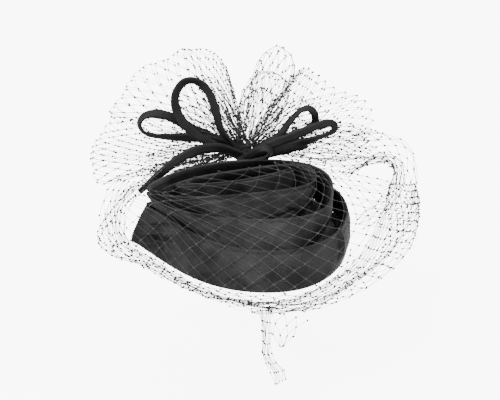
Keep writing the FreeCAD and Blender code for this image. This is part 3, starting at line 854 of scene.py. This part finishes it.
def frontSurface(q, v):
    # from the crown's back rim over the three rims, past the edge and under; it flares beyond the base at
    # both ends, and its start is drawn to the tack by exp(-((angle - 277) / 9)^2)
    angle = np.radians(176 + 192 * v)
    deg = np.degrees(angle)
    rightFlare = 46 * smoothStep((deg - 272) / 75)
    leftFlare = 19 * smoothStep((222 - deg) / 40)
    flare = rightFlare + leftFlare
    lift = 34 * smoothStep((deg - 290) / 70) + 7 * smoothStep((200 - deg) / 24)
    out = np.stack([np.cos(angle), np.sin(angle) * 0.8, 0 * angle], axis=-1)

    def at(place, distance, rise):
        return place + out * np.broadcast_to(distance, angle.shape)[:, None] + moved(0 * place, 0, 0, rise)

    rim3, rim2 = upperRim(angle), middleRim(angle)
    back = moved(upperRim(-angle), 0, 1.5, 2.0)
    drawn = np.exp(-((deg - 277) / 9) ** 2)[:, None]
    back = back + (tackPlace - back) * drawn
    rails = [back, back * 0.5 + rim3 * 0.5 + [0, 0, 2.2], at(rim3, 2, 2.6),
            at(rim2, 3 + flare * 0.35, 2.2 + lift * 0.1),
             at(lowerRim(angle), 4 + flare * 0.8, 2 + lift * 0.35), at(lowerFoot(angle), 5 + flare, 1 + lift),
             at(lowerFoot(angle), 3.5 + flare * 0.96, -11 + lift),
             at(lowerFoot(angle), -6 + flare * 0.8, -14 + lift)]
    return through(np.stack(rails), q)


def smoothStep(t):
    # 3t^2 - 2t^3 between 0 and 1
    t = np.clip(t, 0, 1)
    return t * t * (3 - 2 * t)


frontNet = dict(rows=25, start=6, crowding=0.5, left=(235, 9), right=(318, 13), seed=71)


def makeFront(mat):
    # row i has start + i + 1 knots between angles that open out row by row, at s + crowding sin(pi s) / pi
    # of the way
    f = frontNet
    rows, start = f["rows"], f["start"]
    q = np.linspace(0, 1, 200)
    sample = frontSurface(q, np.linspace(0, 1, 41))
    along = np.concatenate([[0], np.cumsum(np.linalg.norm(np.diff(sample, axis=0), axis=-1).mean(axis=1))])
    places = np.interp(np.linspace(0, 1, rows + 1) ** 0.95 * along[-1], along, q)
    widest = rows + start
    grid = np.zeros((rows + 1, 2 * widest + 1, 3))
    keep = np.zeros((rows + 1, 2 * widest + 1), bool)
    for i in range(rows + 1):
        j = np.arange(-i - start, i + start + 1)
        spread = (j / (i + start) + 1) / 2
        spread = spread + f["crowding"] * np.sin(math.pi * spread) / math.pi
        low, high = max(176, f["left"][0] - f["left"][1] * i), min(368, f["right"][0] + f["right"][1] * i)
        grid[i, j + widest] = frontSurface(places[i:i + 1], (low + (high - low) * spread - 176) / 192)[0]
        keep[i, j + widest] = (i + j + start) % 2 == 0
    # the shared builder joins cells whose row + column is even
    shift = (widest + start) % 2
    netPiece("netFront", [(grid[:, shift:], keep[:, shift:], 0.7)], mat, "headpiece", ("veil_front",),
            "draped", f["seed"])


sideNets = dict(
    netRightCurl=dict(nodes=("veil_right_curl", "veil_right_side"), cells=8, seed=81, held="gathered", puff=4,
    edges=(0, 0.04, 1),
        lines=[
            [(66.2, 8, 48.9), (69.8, 7, 46.9), (74.9, 6, 47.2), (79.2, 5, 44.8), (85, 5, 43.5), (90, 5, 40.5),
            (95.8, 6, 39.9),
             (101.5, 7, 38.8), (106.6, 8, 41.1)],
            [(74.9, 2, 30.5), (79.9, 1, 32.8), (85, 1, 31.1), (90, 1, 33.7), (95, 1, 32.8), (100.8, 2, 34.7),
            (107.3, 4, 38.6)]],
        rails=[
        [(72, 60, 57.1), (85.7, 60, 57.1), (98.6, 57, 57.4), (110.2, 48, 59.8), (118.8, 38, 60.3),
        (125.3, 26, 56.1),
         (127.4, 14, 47.5), (125.3, 2, 39), (122.4, -10, 30.5), (118.8, -20, 24.1), (110.9, -32, 16.5),
         (97.2, -44, 8),
         (81.4, -54, 0.8), (68.4, -60, -6.5), (49.7, -66, -12.1), (25.9, -68, -15), (9.4, -67, -16.5)],
        [(56, 58, 44), (74, 56, 42), (88, 48, 42), (100, 38, 47), (109, 27, 49), (112, 15, 46), (109, 2, 34),
         (103, -14, 20), (92, -32, 8), (76, -46, 1), (58, -57, -5), (40, -65, -9), (20, -67, -9),
         (8, -67, -9)],
        [(52, 54, 34), (68, 54, 31), (81, 50, 30), (90, 41, 37.7), (107.3, 30, 49.2), (111.6, 20, 47.9),
        (108.7, 6, 39.9),
         (98, -10, 20), (86, -28, 7), (72, -43, 2), (55, -55, -3), (38, -63, -6), (18, -66, -7),
         (7, -65.5, -7)]],
        extra=[dict(cells=3, puff=1, wander=0.8, edges=(0, 0.5, 0.85, 1), rails=[
            [(76.3, 46, 31), (88.6, 44, 40.1), (99.4, 40, 49.5), (110.9, 32, 53), (117.4, 20, 50.5),
            (117.4, 10, 42.4),
             (112.3, 0, 35.2), (102.2, -12, 30.1), (90, -22, 24.6)],
            [(78.5, 44, 28.9), (88.6, 42, 37.9), (99.4, 38, 48.3), (109.4, 31, 51.1), (114.5, 20, 48.8),
            (114.5, 10, 42.4),
             (108.7, 0, 36.9), (97.9, -11, 32.9), (85.7, -20, 28.4)],
            [(81.4, 42, 31.1), (90, 41, 37.7), (99.4, 37, 46.3), (107.3, 30, 49.2), (111.6, 20, 47.9),
            (110.9, 10, 44.1),
             (105.1, 2, 42.5), (95.8, -9, 37.6), (82.8, -18, 32.3)]]),
               dict(cells=6, puff=3, wander=2.0, rails=[
            [(51, 44, 27), (65.5, 42, 26), (76.5, 40, 29), (85.5, 38, 36), (93, 36, 43)],
            [(48, 50, 37), (62, 48, 40), (76.5, 46, 45.5), (88.5, 44, 52), (101.5, 42, 59.5)],
            [(47, 54, 51.5), (60, 54, 53.5), (72.5, 52, 58), (85.5, 50, 62), (98.5, 47, 64.5)]])]),
    netHem=dict(nodes=("veil_hem",), cells=5, seed=91, held="gathered", puff=1.5, rails=[
        [(9, -68, -8.5), (-12, -61, -9), (-32, -52, -8), (-52, -38, -6), (-72, -26, -3), (-89, -17, 0),
        (-97, -8, 8),
         (-99.5, -2, 20), (-97, 5, 34), (-88, 11, 45)],
        [(9, -68, -6), (-10, -62, -5), (-30, -51, -4), (-50, -36, -2), (-68, -21, 1), (-82, -10, 4),
        (-89, -4, 12),
         (-90, 0, 22), (-87, 6, 33), (-78, 12, 42)],
        [(9, -62, -9), (-10, -56, -9), (-28, -45, -8), (-46, -31, -6), (-64, -17, -2), (-77, -7, 0),
        (-83, -2, 10),
         (-85, 2, 20), (-80, 8, 32), (-70, 14, 40)]],
        extra=[dict(cells=3, puff=1.5, wander=1.4, rails=[
            [(-77.8, -10, 5.6), (-56.9, -31, 3.8), (-35.3, -47, 0.5), (-13.7, -58, -0.9), (7.9, -65, -0.7),
            (29.5, -68, 0.4),
             (51.1, -64, 1.2), (69.1, -50, 5), (78.5, -30, 11.8)],
            [(-91.4, -14, 10), (-74.9, -29, 3.4), (-53.3, -44, -2.3), (-31.7, -55, -7.2), (-10.1, -62, -11.2),
            (11.5, -67, -14),
             (33.1, -69, -15.3), (52.6, -66, -12.1), (72.7, -56, -4), (88.6, -46, 3.3)]])]),
    netLeftCurl=dict(nodes=("veil_left_side",), cells=4, seed=101, held="gathered", puff=2, edges=(0, 1),
    rails=[
        [(-52, 26, 52), (-66, 18, 44), (-80, 12, 37), (-92, 4, 28), (-96, -4, 15), (-90, -12, 4)],
        [(-56, 22, 46), (-68, 15, 39), (-79, 10, 33), (-86, 3, 24), (-88, -4, 14), (-84, -11, 5)],
        [(-60, 18, 42), (-68, 12, 36), (-75, 8, 30), (-80, 2, 22), (-82, -4, 13), (-79, -10, 5)]]))


def makeSideNets(mat):
    for name, s in sideNets.items():
        layers, cords = [], [through(line, np.linspace(0, 1, 60)) for line in s.get("lines", ())]
        for part in [s] + s.get("extra", []):
            surface = railSurface(part["rails"])
            grid = netRows(surface, 2 * part["cells"] + 1)
            cords += [surface(np.linspace(0, 1, 120), np.array([v]))[:, 0] for v in part.get("edges", ())]
            across = np.sin(math.pi * np.linspace(0, 1, grid.shape[1]))[None, :, None]
            layers.append((grid + gridNormals(grid) * across * part["puff"], None, part.get("wander", 0.7)))
        netPiece(name, layers, mat, "headpiece", s["nodes"], s["held"], s["seed"], cords)


tailPivot = jointPlace("tail_swing")
tailLook = dict(length=66.0, cells=5, seed=111)


def makeTail(mat):
    # a twisted end hanging straight down from the hem, and a loose corner of net beside it
    t = tailLook
    length = t["length"]
    rails = [[(-9, -0.4, -0.6), (-6, 0.6, -12), (-5, 1, -30), (-5.5, 0.5, -42), (0.5, 0, -54),
            (3, 0, -length)],
             [(-4, -1, -0.8), (-3.5, -1.5, -12), (-3, -2, -30), (-2, -1.5, -42), (5, -1, -52),
             (7, -1, -length + 3)],
             [(1, -0.4, -0.8), (0.5, -1, -12), (1, -1, -30), (2.5, -1, -42), (10, 0, -52),
             (13, 0, -length + 5)]]
    corner = [[(1, 0, -1), (0.5, 0, -16), (6, 0, -32)], [(14, -1, -5), (10, -1, -18), (8.5, -0.5, -32)],
              [(26, -1, -9), (19, -1, -19), (10.5, 0, -31)]]
    layers = []
    for group, cells in ((rails, t["cells"]), (corner, t["cells"] - 2)):
        placed = [[tuple(tailPivot + np.array(p)) for p in rail] for rail in group]
        layers.append((netRows(railSurface(placed), 2 * cells + 1), None, 0.5))
    netPiece("netTail", layers, mat, "veil_tail", ("veil_tail",), "hung", t["seed"])


neckLook = dict(radius=4.1, pleats=15, depth=0.12, low=-5.5, high=6.5, turns=8, thread=0.45, seed=5)


def makeNeck(mat):
    # gathered neck: radius (1 + depth sin(pleats angle)) flaring at both ends, closed by centre points;
    # thread wound round it as a helix whose pitch wanders
    k = neckLook
    centre = nodeCentre("gather_tie")
    lean = np.array([0, math.sin(fanLean), math.cos(fanLean)])
    across, back = np.array([1.0, 0, 0]), np.array([0, math.cos(fanLean), -math.sin(fanLean)])
    h = np.linspace(0, 1, 26)[:, None]
    angle = np.linspace(0, 2 * math.pi, 120, endpoint=False)[None]
    flare = 1 + 0.28 * np.abs(2 * h - 1) ** 3
    radius = k["radius"] * flare * (1 + k["depth"] * np.sin(k["pleats"] * angle + 2 * h))

    def place(r, a, z):
        return (centre + across * (r * np.cos(a))[..., None] + back * (r * np.sin(a))[..., None]
                + lean * (z + 0 * a)[..., None])

    height = k["low"] + (k["high"] - k["low"]) * h
    grid = place(radius, angle, height)
    rows, cols = grid.shape[:2]
    ends = centre + lean * np.array([[k["low"]], [k["high"]]])
    verts = np.concatenate([grid.reshape(-1, 3), ends])
    ring = np.arange(cols)
    after = (ring + 1) % cols
    low = np.stack([after, ring, 0 * ring + rows * cols], axis=-1)
    high = np.stack([ring, after, 0 * ring + rows * cols + 1 - (rows - 1) * cols],
            axis=-1) + (rows - 1) * cols
    t = np.linspace(0, 1, 500)
    wind = 2 * math.pi * k["turns"] * t
    z = -3.6 + 7.2 * t + 0.5 * np.sin(wind * 0.37 + 1)
    helix = place(k["radius"] * 1.13 + 0.15 * np.sin(wind * 0.7), wind, z)
    threadVerts, quads, caps = tubes([helix], k["thread"], 8)
    verts = np.concatenate([verts, threadVerts])
    start = rows * cols + 2
    sides = gridFaces(rows, cols, closeCols=True)[:, ::-1]
    obj = addMesh("netNeck", verts, [sides, low, high, quads + start, caps + start], mat, "headpiece",
            ("gather_tie",))


# ---- base, comb and small pieces

def paintNode(name, mat):
    # gives a CAD node its material
    obj = bpy.data.objects[name]
    obj.data.materials.clear()
    obj.data.materials.append(mat)


hiddenCloths = dict(
    foundation_shell=("buckram", (0.02, 0.02, 0.02), (0.035, 0.035, 0.034), 0.85, 1.3, 0.25),
    crown_tip_cover=("tipSatin", (0.008, 0.008, 0.009), (0.02, 0.02, 0.021), 0.5, 0.25, 0.03),
    satin_facing=("facingSatin", (0.008, 0.008, 0.009), (0.02, 0.02, 0.021), 0.5, 0.25, 0.03),
    lining=("liningTaffeta", (0.012, 0.012, 0.014), (0.022, 0.022, 0.025), 0.5, 0.35, 0.04),
    headsize_ribbon=("grosgrain", (0.008, 0.008, 0.009), (0.016, 0.016, 0.017), 0.6, 0.9, 0.12),
    edge_wire=("wireCotton", (0.01, 0.01, 0.01), (0.02, 0.02, 0.02), 0.8, 0.5, 0.08))


def paintHidden():
    for name, (mat, base, light, rough, pitch, depth) in hiddenCloths.items():
        paintNode(name, clothMaterial(mat, base, light, rough, pitch, depth, 0.1, uv=False, specular=0.3))
    plastic, tree, shader = newMaterial("combPlastic", (0.012, 0.012, 0.012), 0.32, specular=0.5)
    place = node(tree, "ShaderNodeTexCoord")
    scuff = node(tree, "ShaderNodeTexNoise", Scale=900.0, Detail=5.0, Roughness=0.65)
    link(tree, place.outputs["Object"], scuff.inputs["Vector"])
    rough = node(tree, "ShaderNodeMapRange")
    rough.inputs["To Min"].default_value, rough.inputs["To Max"].default_value = 0.22, 0.5
    link(tree, scuff.outputs["Fac"], rough.inputs["Value"])
    link(tree, rough.outputs[0], shader.inputs["Roughness"])
    bump = node(tree, "ShaderNodeBump", Strength=0.25, Distance=0.00003)
    link(tree, scuff.outputs["Fac"], bump.inputs["Height"])
    link(tree, bump.outputs[0], shader.inputs["Normal"])
    paintNode("comb", plastic)
    for name in ("comb_tape",):
        paintNode(name, bpy.data.materials["grosgrain"])
    thread = clothMaterial("thread", (0.008, 0.008, 0.008), (0.02, 0.02, 0.02), 0.55, 0.4, 0.1, 0.2, uv=False)
    paintNode("tail_thread", thread)
    makeNeck(thread)


def main():
    makeCamera()
    makeStudio()
    print("camera, light and floor")
    satin = clothMaterial("satin", (0.001, 0.001, 0.0012), (0.026, 0.026, 0.0268), 0.42, 0.22, 0.04, 0.05,
                          twill=0.5, specular=0.2)
    rouleauCloth = clothMaterial("rouleau", (0.003, 0.003, 0.0035), (0.012, 0.012, 0.0125), 0.45, 0.22, 0.03,
            0.05,
                                 twill=0.8, specular=0.2)
    netCloth = clothMaterial("net", (0.018, 0.018, 0.018), (0.05, 0.05, 0.05), 0.55, 0.2, 0.02, 0.1, uv=False)
    for name, shape in bandShapes.items():
        foldedBand(name, shape, satin)
    innerFold(satin)
    print("satin bands")
    makeBow(rouleauCloth)
    makeKnot(rouleauCloth)
    print("bow")
    makeFans(netCloth)
    makeFront(netCloth)
    makeSideNets(netCloth)
    makeTail(netCloth)
    print("net")
    paintHidden()


main()
